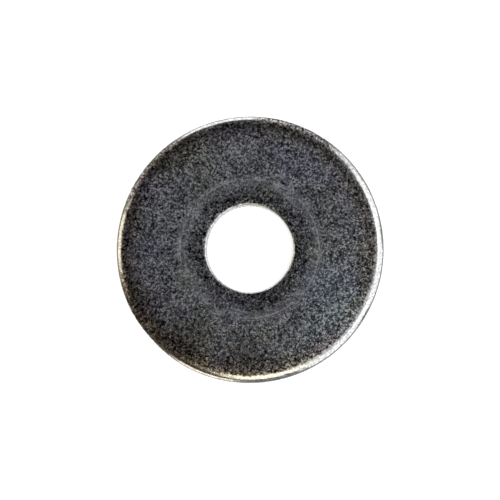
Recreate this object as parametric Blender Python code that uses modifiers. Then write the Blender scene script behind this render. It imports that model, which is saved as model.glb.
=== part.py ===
"""Flat washer for a 3/8 inch bolt, 1-1/4 inch across: one ring blanked and pierced from steel strip.

Run it with blender --background --python part.py, or from Blender's text editor.
Metres, +Z up along the bolt's axis. The origin is the centre of the bore, on the bottom face.
"""

from math import cos, pi, sin

import bpy

# Driving dimensions of the washer.
OUTER_DIAMETER = 0.03175
BORE_DIAMETER = 0.0103
THICKNESS = 0.0016

# The die pulls the top face down into a rounded corner at both cut edges. Each roll is a quarter of
# an ellipse, wider than it is deep.
RIM_ROLL_WIDTH = 0.90 * THICKNESS
RIM_ROLL_DEPTH = 0.34 * THICKNESS
BORE_ROLL_WIDTH = 0.26 * THICKNESS
BORE_ROLL_DEPTH = 0.13 * THICKNESS

# Below the roll a cut wall is sheared straight, then it tears and leans away from the cut.
TEAR_HEIGHT = 0.42 * THICKNESS
TEAR_LEAN = 0.03 * THICKNESS
BURR_RADIUS = 0.05 * THICKNESS

# The stripper presses a shallow round seat into the top face, around the bore.
SEAT_DEPTH = 0.015 * THICKNESS
SEAT_FLOOR_DIAMETER = 0.0155
SEAT_RIM_DIAMETER = 0.0167

ROUND_STEPS = 128
ROLL_STEPS = 6
BURR_STEPS = 2

PLATING_COLOUR = (0.36, 0.37, 0.39, 1.0)
PLATING_ROUGHNESS = 0.42
WELD_DISTANCE = 0.00001


def clear_scene():
    for obj in list(bpy.data.objects):
        bpy.data.objects.remove(obj, do_unlink=True)


def corner(centre_x, centre_z, half_width, half_height, start, end, steps):
    """Points along an arc of an ellipse from the start angle to the end angle, both ends included."""
    angles = [start + (end - start) * step / steps for step in range(steps + 1)]
    return [(centre_x + half_width * cos(a), centre_z + half_height * sin(a)) for a in angles]


def rolled_edge(wall, outward, face_z, width, depth):
    """A die roll, from the face down to the wall; outward is 1 at the rim and -1 in the bore."""
    upright = (1 - outward) * pi / 2
    return corner(wall - outward * width, face_z - depth, width, depth, pi / 2, upright, ROLL_STEPS)


def burr(centre_x, start):
    """The worn burr at the foot of a torn wall, a quarter turn from the start angle."""
    return corner(centre_x, BURR_RADIUS, BURR_RADIUS, BURR_RADIUS, start, start - pi / 2, BURR_STEPS)


def washer_section():
    """The section at +X, from the bore's wall outwards, down the rim, back inwards and up the bore."""
    rim = OUTER_DIAMETER / 2
    bore = BORE_DIAMETER / 2
    seat_z = THICKNESS - SEAT_DEPTH
    torn_rim = rim - TEAR_LEAN
    torn_bore = bore + TEAR_LEAN

    section = rolled_edge(bore, -1, seat_z, BORE_ROLL_WIDTH, BORE_ROLL_DEPTH)[::-1]
    section.append((SEAT_FLOOR_DIAMETER / 2, seat_z))
    section.append((SEAT_RIM_DIAMETER / 2, THICKNESS))
    section += rolled_edge(rim, 1, THICKNESS, RIM_ROLL_WIDTH, RIM_ROLL_DEPTH)
    section.append((rim, TEAR_HEIGHT))
    section += burr(torn_rim - BURR_RADIUS, 0)
    section += burr(torn_bore + BURR_RADIUS, -pi / 2)
    section.append((bore, TEAR_HEIGHT))
    return section


def plated_steel():
    """Barrel-plated zinc over steel, tumbled to a dull grey."""
    material = bpy.data.materials.new("zinc_plated_steel")
    material.use_nodes = True
    shader = material.node_tree.nodes["Principled BSDF"]
    shader.inputs["Base Color"].default_value = PLATING_COLOUR
    shader.inputs["Roughness"].default_value = PLATING_ROUGHNESS
    shader.inputs["Metallic"].default_value = 1.0
    return material


def add_washer(collection):
    """The ring itself: its section is turned once round the bolt's axis."""
    section = washer_section()
    points = [(x, 0.0, z) for x, z in section]
    edges = [(i, (i + 1) % len(points)) for i in range(len(points))]
    mesh = bpy.data.meshes.new("washer")
    mesh.from_pydata(points, edges, [])
    mesh.materials.append(plated_steel())

    washer = bpy.data.objects.new("washer", mesh)
    collection.objects.link(washer)
    turn = washer.modifiers.new("turn", "SCREW")
    turn.axis = "Z"
    turn.angle = 2 * pi
    turn.steps = ROUND_STEPS
    turn.render_steps = ROUND_STEPS
    turn.use_merge_vertices = True
    turn.merge_threshold = WELD_DISTANCE
    turn.use_smooth_shade = True
    return washer


clear_scene()
flat_washer = bpy.data.collections.new("flat_washer")
bpy.context.scene.collection.children.link(flat_washer)
add_washer(flat_washer)
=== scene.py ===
"""The looks of the flat washer: a tumbled, zinc-plated steel ring lying on a pale floor.

Metres, +Z up along the bolt's axis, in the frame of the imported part.
"""

from math import cos, hypot, pi, radians, sin

import bmesh
import bpy
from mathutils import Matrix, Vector


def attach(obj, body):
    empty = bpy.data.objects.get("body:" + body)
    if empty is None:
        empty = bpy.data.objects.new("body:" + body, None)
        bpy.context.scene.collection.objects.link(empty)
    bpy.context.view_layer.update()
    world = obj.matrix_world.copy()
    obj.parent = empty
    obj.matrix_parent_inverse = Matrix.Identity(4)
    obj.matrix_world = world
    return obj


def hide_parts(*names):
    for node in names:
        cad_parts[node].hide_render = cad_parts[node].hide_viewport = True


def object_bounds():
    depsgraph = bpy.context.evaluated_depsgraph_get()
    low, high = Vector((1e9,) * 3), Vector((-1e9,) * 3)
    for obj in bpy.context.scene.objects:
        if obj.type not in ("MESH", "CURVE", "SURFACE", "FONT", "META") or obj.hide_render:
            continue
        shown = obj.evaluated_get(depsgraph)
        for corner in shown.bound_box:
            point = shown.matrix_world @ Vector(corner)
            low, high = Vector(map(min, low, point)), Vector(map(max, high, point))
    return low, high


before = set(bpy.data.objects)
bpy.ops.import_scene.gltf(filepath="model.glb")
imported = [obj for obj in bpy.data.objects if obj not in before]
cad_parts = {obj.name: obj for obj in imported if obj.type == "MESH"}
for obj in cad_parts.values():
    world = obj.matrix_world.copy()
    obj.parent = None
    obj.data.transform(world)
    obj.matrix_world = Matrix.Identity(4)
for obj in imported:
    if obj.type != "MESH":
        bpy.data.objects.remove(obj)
cad_low, cad_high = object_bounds()
bpy.ops.object.select_all(action="DESELECT")


# ---------------------------------------------------------------------------------------------
# The studio: a macro camera hangs nearly straight over the washer, which lies on a white sheet.
# Soft panels stand around it with dark gaps between them, and nothing bright hangs overhead, so
# the flat face mirrors the dark and the rolled edges pick up the panels.

VIEW_WIDTH = 0.05942
VIEW_TILT = (radians(4.5), radians(2.8), 0.0)
LENS_MM = 100.0
SENSOR_MM = 36.0

VIEW_OFFSET = Vector((0.00003, -0.00012, 0.0))

centre = (cad_low + cad_high) / 2
camera_data = bpy.data.cameras.new("studio_camera")
camera_data.lens = LENS_MM
camera_data.sensor_width = SENSOR_MM
camera_data.clip_start = 0.005
camera = bpy.data.objects.new("studio_camera", camera_data)
camera.rotation_euler = VIEW_TILT
backwards = camera.rotation_euler.to_matrix() @ Vector((0, 0, 1))
camera.location = centre + VIEW_OFFSET + backwards * (VIEW_WIDTH * LENS_MM / SENSOR_MM)
bpy.context.scene.collection.objects.link(camera)
bpy.context.scene.camera = camera
bpy.context.scene.view_settings.view_transform = "Standard"

PANEL_DISTANCE = 0.45


def add_panel(name, azimuth, elevation, spread, brightness, colour):
    """A soft panel facing the washer. Azimuth runs from +X, and spread is its angles across and up."""
    turn, rise = radians(azimuth), radians(elevation)
    towards = Vector((cos(turn) * cos(rise), sin(turn) * cos(rise), sin(rise)))
    across, up = (2 * PANEL_DISTANCE * sin(radians(angle) / 2) for angle in spread)
    light = bpy.data.lights.new(name, "AREA")
    light.shape = "RECTANGLE"
    light.size = across * cos(rise)
    light.size_y = up
    light.energy = brightness * light.size * light.size_y * pi
    light.color = colour
    panel = bpy.data.objects.new(name, light)
    panel.location = centre + towards * PANEL_DISTANCE
    panel.rotation_euler = towards.to_track_quat("Z", "Y").to_euler()
    panel.visible_camera = False
    bpy.context.scene.collection.objects.link(panel)


# The bright panels light the right side most, and the fill panels keep the gaps from going black.
COOL_WHITE = (0.94, 0.97, 1.0)
WARM_WHITE = (1.0, 0.91, 0.74)
add_panel("right_far_panel", 47, 32, (18, 46), 1.3, COOL_WHITE)
add_panel("right_back_panel", 26, 40, (28, 56), 1.9, COOL_WHITE)
add_panel("right_panel", -7, 38.5, (40, 55), 1.9, COOL_WHITE)
add_panel("right_front_panel", -47, 38.5, (40, 53), 1.8, COOL_WHITE)
add_panel("right_glow_panel", -22, 74, (86, 14), 1.1, COOL_WHITE)
add_panel("near_panel", -90, 62, (44, 30), 2.5, WARM_WHITE)
add_panel("low_near_panel", -115, 17, (30, 34), 2.0, WARM_WHITE)
add_panel("left_panel", 173, 31, (28, 34), 1.8, WARM_WHITE)
add_panel("back_panel", 102, 20, (42, 36), 1.9, COOL_WHITE)
add_panel("near_fill_panel", -82, 26, (44, 32), 0.28, COOL_WHITE)
add_panel("back_left_fill_panel", 143, 28, (34, 46), 0.45, WARM_WHITE)
add_panel("back_right_fill_panel", 68, 30, (26, 46), 0.4, COOL_WHITE)

# The washer mirrors a dim room, darkest low down, while the sheet is lit evenly and fades to white.
# The mirrored room brightens from the first height to the second, as sines of the elevation.
MIRRORED_HEIGHTS = (0.88, 0.985)
MIRRORED_STRENGTHS = (0.02, 0.15)

world = bpy.data.worlds.new("studio")
world.use_nodes = True
bpy.context.scene.world = world
room = world.node_tree.nodes
seen_room = room["Background"]
seen_room.inputs["Color"].default_value = (1.0, 1.0, 1.0, 1.0)
seen_room.inputs["Strength"].default_value = 1.25
mirrored_room = room.new("ShaderNodeBackground")
mirrored_room.inputs["Color"].default_value = (0.95, 0.97, 1.0, 1.0)
look_up = room.new("ShaderNodeSeparateXYZ")
ceiling = room.new("ShaderNodeMapRange")
ceiling.inputs["From Min"].default_value = MIRRORED_HEIGHTS[0]
ceiling.inputs["From Max"].default_value = MIRRORED_HEIGHTS[1]
ceiling.inputs["To Min"].default_value = MIRRORED_STRENGTHS[0]
ceiling.inputs["To Max"].default_value = MIRRORED_STRENGTHS[1]
choose_room = room.new("ShaderNodeMixShader")
ray = room.new("ShaderNodeLightPath")
direction = room.new("ShaderNodeTexCoord").outputs["Generated"]
world.node_tree.links.new(direction, look_up.inputs["Vector"])
world.node_tree.links.new(look_up.outputs["Z"], ceiling.inputs["Value"])
world.node_tree.links.new(ceiling.outputs["Result"], mirrored_room.inputs["Strength"])
world.node_tree.links.new(ray.outputs["Is Glossy Ray"], choose_room.inputs["Fac"])
world.node_tree.links.new(seen_room.outputs["Background"], choose_room.inputs[1])
world.node_tree.links.new(mirrored_room.outputs["Background"], choose_room.inputs[2])
world.node_tree.links.new(choose_room.outputs["Shader"], room["World Output"].inputs["Surface"])

# The white sheet. Mirrored in the rim it is grey, and mirrored in the bore's wall it is nearly
# white: the change is hidden under the ring, between these two distances from the bolt's axis.
SHEET_SIZE = 3.0
SHEET_GAP = 0.00002
CHANGE_DISTANCES = (0.007, 0.012)
MIRRORED_GREYS = (0.70, 0.36)

bpy.ops.mesh.primitive_plane_add(size=SHEET_SIZE, location=(0, 0, cad_low.z - SHEET_GAP))
sheet = bpy.context.object
sheet.name = "white_sheet"
paper = bpy.data.materials.new("white_paper")
paper.use_nodes = True
paper_nodes = paper.node_tree.nodes
paper_nodes["Principled BSDF"].inputs["Base Color"].default_value = (0.92, 0.92, 0.92, 1)
paper_nodes["Principled BSDF"].inputs["Roughness"].default_value = 0.9
grey_paper = paper_nodes.new("ShaderNodeBsdfDiffuse")
paper_place = paper_nodes.new("ShaderNodeTexCoord")
from_axis = paper_nodes.new("ShaderNodeVectorMath")
from_axis.operation = "LENGTH"
mirrored_grey = paper_nodes.new("ShaderNodeMapRange")
mirrored_grey.inputs["From Min"].default_value = CHANGE_DISTANCES[0]
mirrored_grey.inputs["From Max"].default_value = CHANGE_DISTANCES[1]
mirrored_grey.inputs["To Min"].default_value = MIRRORED_GREYS[0]
mirrored_grey.inputs["To Max"].default_value = MIRRORED_GREYS[1]
paper.node_tree.links.new(paper_place.outputs["Object"], from_axis.inputs[0])
paper.node_tree.links.new(from_axis.outputs["Value"], mirrored_grey.inputs["Value"])
paper.node_tree.links.new(mirrored_grey.outputs["Result"], grey_paper.inputs["Color"])
choose_paper = paper_nodes.new("ShaderNodeMixShader")
paper_ray = paper_nodes.new("ShaderNodeLightPath")
paper.node_tree.links.new(paper_ray.outputs["Is Glossy Ray"], choose_paper.inputs["Fac"])
paper.node_tree.links.new(paper_nodes["Principled BSDF"].outputs["BSDF"], choose_paper.inputs[1])
paper.node_tree.links.new(grey_paper.outputs["BSDF"], choose_paper.inputs[2])
paper.node_tree.links.new(choose_paper.outputs["Shader"], paper_nodes["Material Output"].inputs["Surface"])
sheet.data.materials.append(paper)


# ---------------------------------------------------------------------------------------------
# The washer: one ring of low-carbon steel, blanked and pierced by a single stroke of the press.
# The die pulls its top edges round, shears a bright straight land, and tears the rest away. Then
# it is tumbled with hundreds of others, zinc plated in a barrel and dipped in a clear passivate.

MM = 0.001
UM = 0.000001

# The ring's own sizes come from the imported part.
cad_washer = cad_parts["washer"]
RIM = cad_high.x
BORE = min(hypot(v.co.x, v.co.y) for v in cad_washer.data.vertices)
THICKNESS = cad_high.z - cad_low.z
MIDDLE = (RIM + BORE) / 2

# Each roll is a quarter of an ellipse, much wider than it is deep.
RIM_ROLL = {"wall": RIM, "width": 0.90 * THICKNESS, "depth": 0.34 * THICKNESS, "steps": 20}
BORE_ROLL = {"wall": BORE, "width": 0.26 * THICKNESS, "depth": 0.13 * THICKNESS, "steps": 12}
RIM_ROLL["start"] = RIM - RIM_ROLL["width"]
BORE_ROLL["start"] = BORE + BORE_ROLL["width"]

# The pressed seat, and the sheared land above the torn foot of each wall.
SEAT_RIM = 8.35 * MM
SEAT_DEPTH = 0.015 * THICKNESS
TEAR_HEIGHT = 0.42 * THICKNESS
TEAR_LEAN = 0.03 * THICKNESS
BURR_RADIUS = 0.05 * THICKNESS
TURN_STEPS = 600

bpy.ops.object.select_all(action="DESELECT")
bpy.ops.mesh.primitive_plane_add(size=1, location=(MIDDLE, 0, THICKNESS / 2), rotation=(pi / 2, 0, 0))
washer = bpy.context.object
washer.name = "plated_washer"
washer.scale = (RIM - BORE, THICKNESS, 1)
bpy.ops.object.transform_apply(location=True, rotation=True, scale=True)


def pick(test, mode="VERT"):
    """In edit mode, selects only the vertices, or the edges, that lie where the test says."""
    bpy.ops.mesh.select_mode(type=mode)
    bpy.ops.mesh.select_all(action="DESELECT")
    edited = bmesh.from_edit_mesh(washer.data)
    if mode == "VERT":
        for vertex in edited.verts:
            vertex.select = test(vertex.co)
    else:
        for edge in edited.edges:
            edge.select = all(test(end.co) for end in edge.verts)
    edited.select_flush_mode()
    bmesh.update_edit_mesh(washer.data)


def beside(roll, place):
    """True on the half of the section that ends in this roll's wall."""
    return (place.x > MIDDLE) == (roll["wall"] > MIDDLE)


# The section is drawn as a loop of edges at +X: an upright rectangle, split where the tear starts.
HAIR = 1 * UM
bpy.ops.object.mode_set(mode="EDIT")
bpy.ops.mesh.delete(type="ONLY_FACE")
pick(lambda place: abs(place.x - RIM) < HAIR, "EDGE")
bpy.ops.mesh.subdivide(number_cuts=1)
pick(lambda place: abs(place.x - BORE) < HAIR, "EDGE")
bpy.ops.mesh.subdivide(number_cuts=1)
pick(lambda place: abs(place.z - THICKNESS / 2) < HAIR)
bpy.ops.transform.translate(value=(0, 0, TEAR_HEIGHT - THICKNESS / 2))
pick(lambda place: place.x > MIDDLE and place.z < HAIR)
bpy.ops.transform.translate(value=(-TEAR_LEAN, 0, 0))
pick(lambda place: place.x < MIDDLE and place.z < HAIR)
bpy.ops.transform.translate(value=(TEAR_LEAN, 0, 0))
pick(lambda place: place.z < HAIR)
bpy.ops.mesh.bevel(offset=BURR_RADIUS, segments=3, affect="VERTICES")

# Each top corner is rounded, and the round is stretched along the face into its roll.
for roll in (RIM_ROLL, BORE_ROLL):
    pick(lambda place: place.z > THICKNESS - HAIR and beside(roll, place))
    bpy.ops.mesh.bevel(offset=roll["depth"], segments=roll["steps"], affect="VERTICES")
    pick(lambda place: place.z > THICKNESS - roll["depth"] - HAIR and beside(roll, place))
    wall_top = (roll["wall"], 0, THICKNESS)
    bpy.ops.transform.resize(value=(roll["width"] / roll["depth"], 1, 1), center_override=wall_top)

# The straight stretches are split finely enough to carry dents, and the seat is pressed down.
FACE_CUTS = 60
BOTTOM_CUTS = 30
LAND_CUTS = 5
TORN_CUTS = 6


def cut_wall(roll, low, high, cuts):
    """Splits one straight stretch of a cut wall into shorter edges."""

    def on_stretch(place):
        on_wall = abs(place.x - roll["wall"]) < 1.1 * TEAR_LEAN
        return on_wall and low - HAIR < place.z < high + HAIR

    pick(on_stretch, "EDGE")
    bpy.ops.mesh.subdivide(number_cuts=cuts)


for roll in (RIM_ROLL, BORE_ROLL):
    cut_wall(roll, TEAR_HEIGHT, THICKNESS - roll["depth"], LAND_CUTS)
    cut_wall(roll, BURR_RADIUS, TEAR_HEIGHT, TORN_CUTS)
pick(lambda place: place.z > THICKNESS - HAIR, "EDGE")
bpy.ops.mesh.subdivide(number_cuts=FACE_CUTS)
pick(lambda place: place.z < HAIR, "EDGE")
bpy.ops.mesh.subdivide(number_cuts=BOTTOM_CUTS)
pick(lambda place: place.x < SEAT_RIM and place.z > THICKNESS - BORE_ROLL["depth"] + HAIR)
bpy.ops.transform.translate(value=(0, 0, -SEAT_DEPTH))

# The section turns once round the bolt's axis and closes on itself.
bpy.ops.mesh.select_all(action="SELECT")
bpy.ops.mesh.spin(steps=TURN_STEPS, angle=2 * pi, center=(0, 0, 0), axis=(0, 0, 1))
bpy.ops.mesh.select_all(action="SELECT")
bpy.ops.mesh.remove_doubles(threshold=HAIR)
bpy.ops.mesh.normals_make_consistent(inside=False)
bpy.ops.object.mode_set(mode="OBJECT")
bpy.ops.object.shade_smooth()


# Each zone of the surface is marked with a vertex group, and then takes its own unevenness.
def mark_zone(name, weight_at):
    """A vertex group whose weight at a vertex comes from its distance from the axis and its height."""
    zone = washer.vertex_groups.new(name=name)
    for vertex in washer.data.vertices:
        weight = weight_at(hypot(vertex.co.x, vertex.co.y), vertex.co.z)
        if weight > 0:
            zone.add([vertex.index], min(weight, 1), "REPLACE")


ROLL_FOOT = THICKNESS - RIM_ROLL["depth"]
BORE_ROLL_FOOT = THICKNESS - SEAT_DEPTH - BORE_ROLL["depth"]


def roll_weight(distance, height):
    """Full on the die rolls at the rim and in the bore."""
    foot = ROLL_FOOT if distance > MIDDLE else BORE_ROLL_FOOT
    rolled = distance > RIM_ROLL["start"] or distance < BORE_ROLL["start"]
    return float(rolled and height > foot)


def land_weight(distance, height):
    """Full on the sheared lands, between the tear and the roll."""
    foot = ROLL_FOOT if distance > MIDDLE else BORE_ROLL_FOOT
    return float(TEAR_HEIGHT < height <= foot + HAIR)


mark_zone("face", lambda distance, height: float(height > THICKNESS - 2 * SEAT_DEPTH))
mark_zone("rolls", roll_weight)
mark_zone("land", land_weight)
mark_zone("torn", lambda distance, height: float(BURR_RADIUS < height < TEAR_HEIGHT + HAIR))
mark_zone("bottom", lambda distance, height: float(height < HAIR))

# The lumps are laid out at a slant, so that none of them line up with the flat faces. The land is
# scored straight down by the die, so there they are drawn out along the height.
SLANT = (0.7, 0.5, 0.3)
slanted = bpy.data.objects.new("slanted", None)
slanted.rotation_euler = SLANT
drawn_out = bpy.data.objects.new("drawn_out", None)
drawn_out.scale = (1, 1, 200)
bpy.context.scene.collection.objects.link(slanted)
bpy.context.scene.collection.objects.link(drawn_out)
bpy.context.view_layer.update()


def roughen(zone, grain, depth, direction, level=1.0, detail=2, along=slanted):
    """Presses a zone unevenly inwards, by up to depth, in lumps about twice the grain's size."""
    lumps = bpy.data.textures.new(zone + "_lumps", "CLOUDS")
    lumps.noise_scale = grain
    lumps.noise_depth = detail
    push = washer.modifiers.new(zone + "_lumps", "DISPLACE")
    push.texture = lumps
    push.texture_coords = "OBJECT"
    push.texture_coords_object = along
    push.direction = direction
    push.strength = depth
    push.mid_level = level
    push.vertex_group = zone
    bpy.ops.object.modifier_apply(modifier=push.name)
    bpy.data.textures.remove(lumps)


# The tumbling barrel leaves the flat faces gently dented all over, and the rolls a little wavy.
roughen("face", 1.3 * MM, 12 * UM, "Z")
roughen("face", 0.34 * MM, 6 * UM, "Z", detail=1)
roughen("rolls", 1.2 * MM, 14 * UM, "NORMAL")
roughen("rolls", 0.3 * MM, 5 * UM, "NORMAL", detail=1)
roughen("bottom", 0.5 * MM, -9 * UM, "Z")

# The scores on the land are shallow, and the torn foot is much the roughest.
roughen("land", 0.12 * MM, 9 * UM, "NORMAL", along=drawn_out)
roughen("torn", 0.16 * MM, 70 * UM, "NORMAL")
roughen("torn", 0.6 * MM, 40 * UM, "NORMAL")
bpy.data.objects.remove(drawn_out, do_unlink=True)
bpy.data.objects.remove(slanted, do_unlink=True)

# Small knocks from the barrel, each at one spot of an edge. The broad ones flatten a stretch of
# the rim and move the bore's wall, because the punch and the die were not quite round and true.
KNOCKS = (
    # angle round the axis, distance from the axis, height, push out, push up, size
    (-46, RIM, 1.15 * MM, -0.05 * MM, -0.02 * MM, 0.30 * MM),
    (102, RIM, 1.15 * MM, -0.05 * MM, -0.02 * MM, 0.30 * MM),
    (-74, RIM - 0.3 * MM, 1.40 * MM, -0.02 * MM, -0.02 * MM, 0.30 * MM),
    (162, RIM - 0.5 * MM, 1.50 * MM, -0.02 * MM, -0.04 * MM, 0.28 * MM),
    (155, BORE, 1.40 * MM, 0.06 * MM, -0.03 * MM, 0.30 * MM),
    (-150, RIM, 0.95 * MM, -0.06 * MM, 0, 0.40 * MM),
    (-138, RIM, 0.80 * MM, -0.08 * MM, 0, 4.5 * MM),
    (20, RIM, 1.0 * MM, -0.05 * MM, 0, 0.35 * MM),
    (-50, BORE, 0.80 * MM, 0.04 * MM, 0, 4.0 * MM),
    (2, BORE, 0.80 * MM, 0.06 * MM, 0, 3.6 * MM),
    (-96, BORE, 0.80 * MM, 0.06 * MM, 0, 3.6 * MM),
    (168, BORE, 0.80 * MM, -0.09 * MM, 0, 4.6 * MM),
    (-28, BORE, 1.40 * MM, 0.05 * MM, -0.02 * MM, 0.45 * MM),
)


def knock(angle, distance, height, out, up, size):
    """Dents the washer around one spot, deepest in the middle."""
    turn = radians(angle)
    spot = Vector((distance * cos(turn), distance * sin(turn), height))
    edited = bmesh.from_edit_mesh(washer.data)
    bpy.ops.mesh.select_all(action="DESELECT")
    nearest = min(edited.verts, key=lambda vertex: (vertex.co - spot).length_squared)
    nearest.select = True
    edited.select_flush_mode()
    bmesh.update_edit_mesh(washer.data)
    bpy.ops.transform.translate(
        value=(out * cos(turn), out * sin(turn), up),
        use_proportional_edit=True,
        proportional_edit_falloff="SMOOTH",
        proportional_size=size,
    )


bpy.ops.object.mode_set(mode="EDIT")
bpy.ops.mesh.select_mode(type="VERT")
for spot_and_push in KNOCKS:
    knock(*spot_and_push)
bpy.ops.object.mode_set(mode="OBJECT")


# Zinc from a plating barrel is a fine grain, blue-grey where it is clean, and its sparkle is painted
# glints. The passivate dip leaves faint pools of blue, lilac and straw, the tumbling rubs the edges,
# and the rim's lit side carries a painted sheen.
def add_node(tree, kind, feeds, **settings):
    """Adds one shader node. Settings are its properties, and feeds are values or links for its inputs."""
    made = tree.nodes.new("ShaderNode" + kind)
    for name, value in settings.items():
        setattr(made, name, value)
    for name, value in feeds.items():
        if isinstance(value, bpy.types.NodeSocket):
            tree.links.new(value, made.inputs[name])
        else:
            made.inputs[name].default_value = value
    return made


def calc(tree, operation, *values):
    """The result of one sum on numbers."""
    return add_node(tree, "Math", dict(enumerate(values)), operation=operation).outputs["Value"]


def ease(tree, value, start, end, low=0.0, high=1.0):
    """Runs smoothly from low, where the value is start, to high, where it is end."""
    feeds = {"Value": value, "From Min": start, "From Max": end, "To Min": low, "To Max": high}
    return add_node(tree, "MapRange", feeds, interpolation_type="SMOOTHSTEP").outputs["Result"]


def mix_colours(tree, mode, share, under, over):
    """Lays one colour over another, by its share."""
    mixer = add_node(tree, "Mix", {0: share, 6: under, 7: over}, data_type="RGBA", blend_type=mode)
    return mixer.outputs[2]


def new_effect(name, inputs, outputs):
    """An empty node group with named sockets; returns its tree, its inputs and its outputs."""
    tree = bpy.data.node_groups.new(name, "ShaderNodeTree")
    for label, (kind, value) in inputs.items():
        socket = tree.interface.new_socket(label, in_out="INPUT", socket_type="NodeSocket" + kind)
        socket.default_value = value
    for label, kind in outputs.items():
        tree.interface.new_socket(label, in_out="OUTPUT", socket_type="NodeSocket" + kind)
    return tree, tree.nodes.new("NodeGroupInput").outputs, tree.nodes.new("NodeGroupOutput").inputs


def use_effect(tree, effect, feeds):
    """Places a finished node group in a material and returns its outputs."""
    made = tree.nodes.new("ShaderNodeGroup")
    made.node_tree = effect
    for name, value in feeds.items():
        if isinstance(value, bpy.types.NodeSocket):
            tree.links.new(value, made.inputs[name])
        else:
            made.inputs[name].default_value = value
    return made.outputs


# The grain: lumps of zinc crystals with dark pores between them, partly oxide and partly painted
# shade. Each crystal's face gets its own brightness, painted shading for its turn, wide patches of
# them differ a little, and a few carry painted glints.
grain, grain_in, grain_out = new_effect(
    "zinc_grain",
    {"Place": ("Vector", (0, 0, 0)), "Size": ("Float", 0.4 * MM), "Contrast": ("Float", 1.0)},
    {"Tone": "Float", "Height": "Float"},
)
fineness = calc(grain, "DIVIDE", 1.0, grain_in["Size"])
slant = add_node(grain, "Mapping", {"Vector": grain_in["Place"], "Rotation": SLANT}).outputs["Vector"]
crystal_feeds = {"Vector": slant, "Scale": fineness, "Detail": 4.0, "Roughness": 0.72}
crystals = add_node(grain, "TexNoise", crystal_feeds)
pore_fineness = calc(grain, "MULTIPLY", fineness, 1.6)
pores = add_node(grain, "TexVoronoi", {"Vector": slant, "Scale": pore_fineness}, feature="F1")
patch_fineness = calc(grain, "MULTIPLY", fineness, 0.25)
patches = add_node(grain, "TexNoise", {"Vector": slant, "Scale": patch_fineness, "Detail": 2.0})
lump_height = calc(grain, "MULTIPLY_ADD", pores.outputs["Distance"], -0.22, crystals.outputs["Fac"])
around_middle = calc(grain, "SUBTRACT", lump_height, 0.40)
swing = calc(grain, "MULTIPLY", around_middle, grain_in["Contrast"])
patchy = calc(grain, "MULTIPLY_ADD", calc(grain, "SUBTRACT", patches.outputs["Fac"], 0.5), 0.95, 0.98)
face_fineness = calc(grain, "MULTIPLY", fineness, 1.5)
crystal_faces = add_node(grain, "TexVoronoi", {"Vector": slant, "Scale": face_fineness})
face_turn = add_node(grain, "SeparateColor", {"Color": crystal_faces.outputs["Color"]}).outputs["Red"]
facet_shading_swing = calc(grain, "MULTIPLY", calc(grain, "SUBTRACT", face_turn, 0.5), grain_in["Contrast"])
uneven = calc(grain, "MULTIPLY_ADD", facet_shading_swing, 0.9, patchy)
brightness = calc(grain, "MAXIMUM", calc(grain, "MULTIPLY_ADD", swing, 4.3, uneven), 0.04)
# Painted glints: a few crystals are made bright in the colour itself.
glint_fineness = calc(grain, "MULTIPLY", fineness, 0.6)
glints = add_node(grain, "TexVoronoi", {"Vector": slant, "Scale": glint_fineness})
glint_turn = add_node(grain, "SeparateColor", {"Color": glints.outputs["Color"]}).outputs["Red"]
glint_spot = ease(grain, glints.outputs["Distance"], 0.22, 0.08, 0.0, 1.1)
painted_glint = calc(grain, "MULTIPLY", ease(grain, glint_turn, 0.955, 0.965), glint_spot)
grain.links.new(calc(grain, "POWER", calc(grain, "ADD", brightness, painted_glint), 1.7), grain_out["Tone"])
grain.links.new(swing, grain_out["Height"])

# The passivate: a film thinner than light's wavelength, so it tints in wide, faint pools.
film, film_in, film_out = new_effect(
    "passivate_film",
    {"Place": ("Vector", (0, 0, 0)), "Strength": ("Float", 1.0)},
    {"Colour": "Color"},
)
slant = add_node(film, "Mapping", {"Vector": film_in["Place"], "Rotation": SLANT}).outputs["Vector"]
pooling = add_node(film, "TexNoise", {"Vector": slant, "Scale": 260.0, "Detail": 2.0})
film_colours = add_node(film, "ValToRGB", {"Fac": pooling.outputs["Fac"]})
stops = film_colours.color_ramp.elements
stops[0].position, stops[0].color = 0.34, (0.90, 0.92, 1.16, 1)
stops[1].position, stops[1].color = 0.66, (1.06, 1.04, 0.88, 1)
stops.new(0.43).color = (0.99, 0.93, 1.08, 1)
stops.new(0.5).color = (1, 1, 1, 1)
stops.new(0.58).color = (0.92, 1.02, 1.04, 1)
film.links.new(
    mix_colours(film, "MIX", film_in["Strength"], (1, 1, 1, 1), film_colours.outputs["Color"]),
    film_out["Colour"],
)

# The rub: where an edge stands proud the barrel polishes it, with a ragged boundary. The same mask
# also carries the painted sheen on the rim's lit side.
rub, rub_in, rub_out = new_effect(
    "tumble_rub",
    {"Place": ("Vector", (0, 0, 0)), "Edge": ("Float", 0.0), "Raggedness": ("Float", 0.5)},
    {"Polish_and_sheen": "Float"},
)
chips = add_node(rub, "TexNoise", {"Vector": rub_in["Place"], "Scale": 1900.0, "Detail": 1.0})
ragged = calc(rub, "MULTIPLY", calc(rub, "SUBTRACT", chips.outputs["Fac"], 0.5), rub_in["Raggedness"])
rub.links.new(ease(rub, calc(rub, "ADD", rub_in["Edge"], ragged), 0.15, 0.85), rub_out["Polish_and_sheen"])

# The scratches: short straight scores that other washers leave in the barrel, in three directions.
scratch, scratch_in, scratch_out = new_effect(
    "barrel_scratches", {"Place": ("Vector", (0, 0, 0))}, {"Mark": "Float"}
)
marks = 0.0
for heading in (0.45, 1.55, 2.6):
    turned = {"Vector": scratch_in["Place"], "Rotation": (0, 0, heading), "Scale": (1, 0.07, 1)}
    drawn = add_node(scratch, "Mapping", turned).outputs["Vector"]
    score = add_node(scratch, "TexNoise", {"Vector": drawn, "Scale": 2700.0, "Detail": 1.0}).outputs["Fac"]
    marks = calc(scratch, "MAXIMUM", marks, ease(scratch, score, 0.68, 0.78))
scratch.links.new(marks, scratch_out["Mark"])

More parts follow.
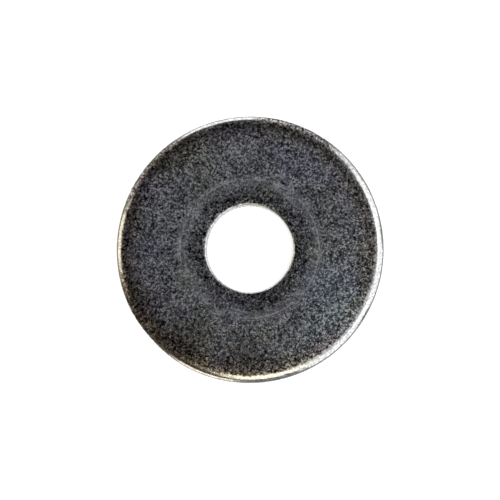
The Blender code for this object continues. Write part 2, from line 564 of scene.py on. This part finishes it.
# Distance from the bolt's axis and height above the bottom face, for patterns that follow the ring.
ring, ring_in, ring_out = new_effect(
    "ring_place", {"Place": ("Vector", (0, 0, 0))}, {"Distance": "Float", "Height": "Float"}
)
parts = add_node(ring, "SeparateXYZ", {"Vector": ring_in["Place"]}).outputs
flat_place = add_node(ring, "CombineXYZ", {"X": parts["X"], "Y": parts["Y"]}).outputs["Vector"]
distance = add_node(ring, "VectorMath", {0: flat_place}, operation="LENGTH").outputs["Value"]
ring.links.new(distance, ring_out["Distance"])
ring.links.new(parts["Z"], ring_out["Height"])

# The faces and rolls: grainy zinc, worn smoother in the seat and darkened towards both edges.
ZINC_GREY = (0.40, 0.405, 0.42, 1)
POLISHED_AND_SHEEN_ZINC = (0.53, 0.525, 0.51)
BURNT_ZINC = (0.375, 0.345, 0.325, 1)
STRAW_ZINC = (0.42, 0.365, 0.305, 1)

plate = bpy.data.materials.new("tumbled_zinc")
plate.use_nodes = True
tree = plate.node_tree
place = add_node(tree, "TexCoord", {}).outputs["Object"]
where = use_effect(tree, ring, {"Place": place})
off_axis = where["Distance"]


def how_far(direction):
    """How far a point of the plate lies along a level direction."""
    feeds = {0: place, 1: direction}
    return add_node(tree, "VectorMath", feeds, operation="DOT_PRODUCT").outputs["Value"]


def spot_mask(angle, distance, size, core, low, high):
    """Runs from low, at size away from a spot on the top face, to high, at core away from it."""
    middle = (distance * cos(radians(angle)), distance * sin(radians(angle)), THICKNESS)
    away = add_node(tree, "VectorMath", {0: place, 1: middle}, operation="DISTANCE").outputs["Value"]
    return ease(tree, away, size, core, low, high)


# The barrel rubs the rim bright along its crest and a little way in. The wide pale band grows
# towards +X, where the brightest panels stand, and there it is painted sheen. Some stretches of the
# rim escape, each given by its angle round the axis and its size.
DULL_STRETCHES = ((-148, 8.5 * MM), (141, 7.5 * MM), (68, 7.0 * MM))
lit_side_sheen = ease(tree, how_far((0.94, -0.34, 0)), -4.0 * MM, 8.0 * MM, 0.3, 1.0)
wide_rub_and_sheen = calc(tree, "MULTIPLY", ease(tree, off_axis, RIM - 1.25 * MM, RIM - 0.5 * MM), lit_side_sheen)
crest_edge = ease(tree, off_axis, RIM - 0.8 * MM, RIM - 0.45 * MM)
rim_edge = calc(tree, "MAXIMUM", wide_rub_and_sheen, crest_edge)
for angle, size in DULL_STRETCHES:
    rim_edge = calc(tree, "MULTIPLY", rim_edge, spot_mask(angle, RIM, size, 0.5 * size, 1.0, 0.3))
# The bore's edge is paler: partly rubbed, partly a painted highlight.
bore_rub_and_highlight = ease(tree, off_axis, BORE + 0.50 * MM, BORE, 0.0, 0.8)
edges = calc(tree, "MAXIMUM", rim_edge, bore_rub_and_highlight)
polish_and_sheen = use_effect(tree, rub, {"Place": place, "Edge": edges, "Raggedness": 0.6})["Polish_and_sheen"]

# The grain is calmer in the pressed seat, where it is rubbed and under the painted sheen, and stronger near
# both edges.
seat_in = ease(tree, off_axis, 7.1 * MM, 7.7 * MM)
seat_out = ease(tree, off_axis, 8.4 * MM, 9.0 * MM, 1.0, 0.0)
seat = calc(tree, "MULTIPLY", seat_in, seat_out)
rim_burn = ease(tree, off_axis, 12.2 * MM, 14.4 * MM)
contrast = calc(tree, "MULTIPLY_ADD", seat, -0.45, 1.0)
contrast = calc(tree, "MULTIPLY_ADD", rim_burn, 0.35, contrast)
contrast = calc(tree, "ADD", contrast, ease(tree, off_axis, 7.2 * MM, 5.8 * MM, 0.0, 0.55))
contrast = calc(tree, "MULTIPLY", contrast, calc(tree, "MULTIPLY_ADD", polish_and_sheen, -0.25, 1.0))
plate_grain = use_effect(tree, grain, {"Place": place, "Size": 0.29 * MM, "Contrast": contrast})

# The plating is burnt brown towards the rim, where the current was strongest. The darkening round
# the bore is painted shade. One side of the rim, towards -X and -Y, has a straw tint.
bore_painted_shade = ease(tree, off_axis, 5.8 * MM, 7.8 * MM, 0.31, 1.0)
rim_shade = ease(tree, off_axis, 13.8 * MM, 14.7 * MM, 1.0, 0.62)
rim_shade = calc(tree, "MULTIPLY_ADD", rim_burn, -0.32, rim_shade)
rim_shade = calc(tree, "ADD", rim_shade, ease(tree, off_axis, 14.8 * MM, 15.5 * MM, 0.0, 0.5))
seat_shade = calc(tree, "MULTIPLY_ADD", seat, 0.18, 1.0)
shade = calc(tree, "MULTIPLY", calc(tree, "MULTIPLY", bore_painted_shade, rim_shade), seat_shade)
straw_side = ease(tree, how_far((-0.7, -0.7, 0)), 5.0 * MM, 11.0 * MM)
straw_share = calc(tree, "MULTIPLY", ease(tree, off_axis, 14.3 * MM, 14.9 * MM), straw_side)
burnt = mix_colours(tree, "MIX", rim_burn, ZINC_GREY, BURNT_ZINC)
burnt = mix_colours(tree, "MIX", straw_share, burnt, STRAW_ZINC)

# The stripper's edge leaves broken rings of fine scores at the rim of the seat. Their pale lines
# are partly those scores and partly a painted glint of the seat's step.
across = add_node(tree, "CombineXYZ", {"X": off_axis}).outputs["Vector"]
rings = add_node(tree, "TexNoise", {"Vector": across, "Scale": 4200.0, "Detail": 1.0}).outputs["Fac"]
breaks = add_node(tree, "TexNoise", {"Vector": place, "Scale": 330.0, "Detail": 2.0}).outputs["Fac"]
score_in = ease(tree, off_axis, SEAT_RIM - 0.45 * MM, SEAT_RIM - 0.1 * MM)
score_out = ease(tree, off_axis, SEAT_RIM + 0.35 * MM, SEAT_RIM + 0.05 * MM)
seat_scores_and_glint = calc(tree, "MULTIPLY", calc(tree, "MULTIPLY", score_in, score_out), ease(tree, breaks, 0.42, 0.56))
seat_scores_and_glint = calc(tree, "MULTIPLY", seat_scores_and_glint, ease(tree, rings, 0.42, 0.66))
scratched = use_effect(tree, scratch, {"Place": place})["Mark"]
marked = calc(tree, "MAXIMUM", seat_scores_and_glint, calc(tree, "MULTIPLY", scratched, 0.55))
toned = calc(tree, "MULTIPLY", shade, calc(tree, "ADD", plate_grain["Tone"], marked))
tint = use_effect(tree, film, {"Place": place, "Strength": 0.45})["Colour"]
tinted = mix_colours(tree, "MULTIPLY", 1.0, burnt, tint)

# Wide patches: angle round the axis and distance from it, size, and tint. Some are stains left by
# the dip. The dark one towards -75 and the pale one towards 152 near the bore are painted shade and
# light round it, and the pale bluish ones near the rim towards -35 and -50 are painted glow at the
# edge of the rim's highlight.
STAINS_AND_LIGHT_PATCHES = (
    (-30, 11.5 * MM, 6.0 * MM, (0.98, 1.10, 1.12, 1)),
    (60, 12.0 * MM, 5.5 * MM, (1.18, 1.20, 1.34, 1)),
    (180, 11.0 * MM, 5.0 * MM, (0.90, 0.90, 0.98, 1)),
    (122, 12.0 * MM, 5.0 * MM, (1.00, 1.00, 0.88, 1)),
    (-125, 13.5 * MM, 6.0 * MM, (0.48, 0.45, 0.40, 1)),
    (-92, 13.0 * MM, 4.5 * MM, (0.54, 0.50, 0.46, 1)),
    (-152, 14.5 * MM, 4.5 * MM, (0.64, 0.60, 0.63, 1)),
    (105, 12.5 * MM, 5.5 * MM, (1.34, 1.32, 1.40, 1)),
    (148, 14.0 * MM, 4.0 * MM, (1.40, 1.34, 1.48, 1)),
    # These two are painted light and shade round the bore, and the two after them painted glow near the
    # rim.
    (152, 6.9 * MM, 3.0 * MM, (1.60, 1.60, 1.62, 1)),
    (-75, 6.3 * MM, 4.0 * MM, (0.68, 0.68, 0.66, 1)),
    (-35, 14.6 * MM, 4.0 * MM, (1.35, 1.42, 1.48, 1)),
    (-50, 14.0 * MM, 5.0 * MM, (1.12, 1.18, 1.21, 1)),
)
for angle, distance, size, colour in STAINS_AND_LIGHT_PATCHES:
    stain_and_light_share = spot_mask(angle, distance, size, 0.0, 0.0, 1.0)
    tinted = mix_colours(tree, "MULTIPLY", stain_and_light_share, tinted, colour)
speckled = add_node(tree, "VectorMath", {0: tinted, "Scale": toned}, operation="SCALE").outputs["Vector"]

# Where it is rubbed the zinc is paler, with little of the grain left. The same paler zinc paints
# the sheen on the rim's lit side and the highlight at the bore's edge.
rubbed_and_sheen_tone = calc(tree, "MULTIPLY_ADD", plate_grain["Tone"], 0.2, 0.8)
rubbed_and_sheen = add_node(tree, "VectorMath", {0: POLISHED_AND_SHEEN_ZINC, "Scale": rubbed_and_sheen_tone}, operation="SCALE")
rubbed_and_sheen_share = calc(tree, "MULTIPLY", polish_and_sheen, 0.92)
worn_and_sheened = mix_colours(tree, "MIX", rubbed_and_sheen_share, speckled, rubbed_and_sheen.outputs["Vector"])
shader = tree.nodes["Principled BSDF"]
shader.inputs["Metallic"].default_value = 1.0
tree.links.new(worn_and_sheened, shader.inputs["Base Color"])

# It is duller on the rolls, most of all at the bore's edge, and the rub and the painted sheen take some of
# that off.
dull_rim = ease(tree, off_axis, 13.6 * MM, 14.8 * MM, 0.18, 0.28)
dull_bore = ease(tree, off_axis, 6.6 * MM, 5.6 * MM, 0.0, 0.10)
dull_bore = calc(tree, "ADD", dull_bore, ease(tree, off_axis, BORE + 0.2 * MM, BORE, 0.0, 0.3))
dullness = calc(tree, "ADD", dull_rim, dull_bore)
tree.links.new(calc(tree, "MULTIPLY_ADD", polish_and_sheen, -0.11, dullness), shader.inputs["Roughness"])
plate_height = calc(tree, "MULTIPLY", plate_grain["Height"], calc(tree, "MULTIPLY_ADD", polish_and_sheen, -0.6, 1.0))
bump = add_node(tree, "Bump", {"Strength": 1.0, "Distance": 0.012 * MM, "Height": plate_height})
tree.links.new(bump.outputs["Normal"], shader.inputs["Normal"])
washer.data.materials.append(plate)

# The cut walls: a bright land scored by the die above a dull, torn foot.
SHEARED_ZINC = (0.74, 0.745, 0.75, 1)

wall = bpy.data.materials.new("sheared_zinc")
wall.use_nodes = True
tree = wall.node_tree
place = add_node(tree, "TexCoord", {}).outputs["Object"]
where = use_effect(tree, ring, {"Place": place})
tear_line = add_node(tree, "TexNoise", {"Vector": place, "Scale": 900.0, "Detail": 3.0}).outputs["Fac"]
ragged_height = calc(tree, "MULTIPLY_ADD", tear_line, 0.5 * MM, where["Height"])
torn = ease(tree, ragged_height, TEAR_HEIGHT + 0.30 * MM, TEAR_HEIGHT + 0.20 * MM)
torn_grain = use_effect(tree, grain, {"Place": place, "Size": 0.16 * MM, "Contrast": 0.7})
drawn = add_node(tree, "Mapping", {"Vector": place, "Scale": (1, 1, 0.02)}).outputs["Vector"]
scores = add_node(tree, "TexNoise", {"Vector": drawn, "Scale": 9000.0, "Detail": 3.0}).outputs["Fac"]
score_tone = calc(tree, "MULTIPLY_ADD", scores, 1.1, 0.45)
torn_tone = calc(tree, "MULTIPLY", torn_grain["Tone"], 0.7)
wall_tone = add_node(tree, "Mix", {0: torn, 2: score_tone, 3: torn_tone})
tint = use_effect(tree, film, {"Place": place, "Strength": 0.6})["Colour"]
tinted = mix_colours(tree, "MULTIPLY", 1.0, SHEARED_ZINC, tint)
wall_colour = add_node(tree, "VectorMath", {0: tinted, "Scale": wall_tone.outputs[0]}, operation="SCALE")
shader = tree.nodes["Principled BSDF"]
shader.inputs["Metallic"].default_value = 1.0
tree.links.new(wall_colour.outputs["Vector"], shader.inputs["Base Color"])

# The bore's wall is duller than the rim's, because the barrel's tumbling hardly reaches it.
wall_dullness = ease(tree, where["Distance"], MIDDLE - 1 * MM, MIDDLE + 1 * MM, 0.38, 0.2)
tree.links.new(calc(tree, "MULTIPLY_ADD", torn, 0.2, wall_dullness), shader.inputs["Roughness"])
score_height = calc(tree, "MULTIPLY", scores, 0.1)
wall_height = add_node(tree, "Mix", {0: torn, 2: score_height, 3: torn_grain["Height"]})
bump = add_node(tree, "Bump", {"Strength": 1.0, "Distance": 0.05 * MM, "Height": wall_height.outputs[0]})
tree.links.new(bump.outputs["Normal"], shader.inputs["Normal"])
washer.data.materials.append(wall)

# The walls reach from the burr at the foot up to the roll, and the rest is plate.
for face in washer.data.polygons:
    foot = ROLL_FOOT if hypot(face.center.x, face.center.y) > MIDDLE else BORE_ROLL_FOOT
    face.material_index = int(BURR_RADIUS < face.center.z < foot)

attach(washer, "root")
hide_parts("washer")
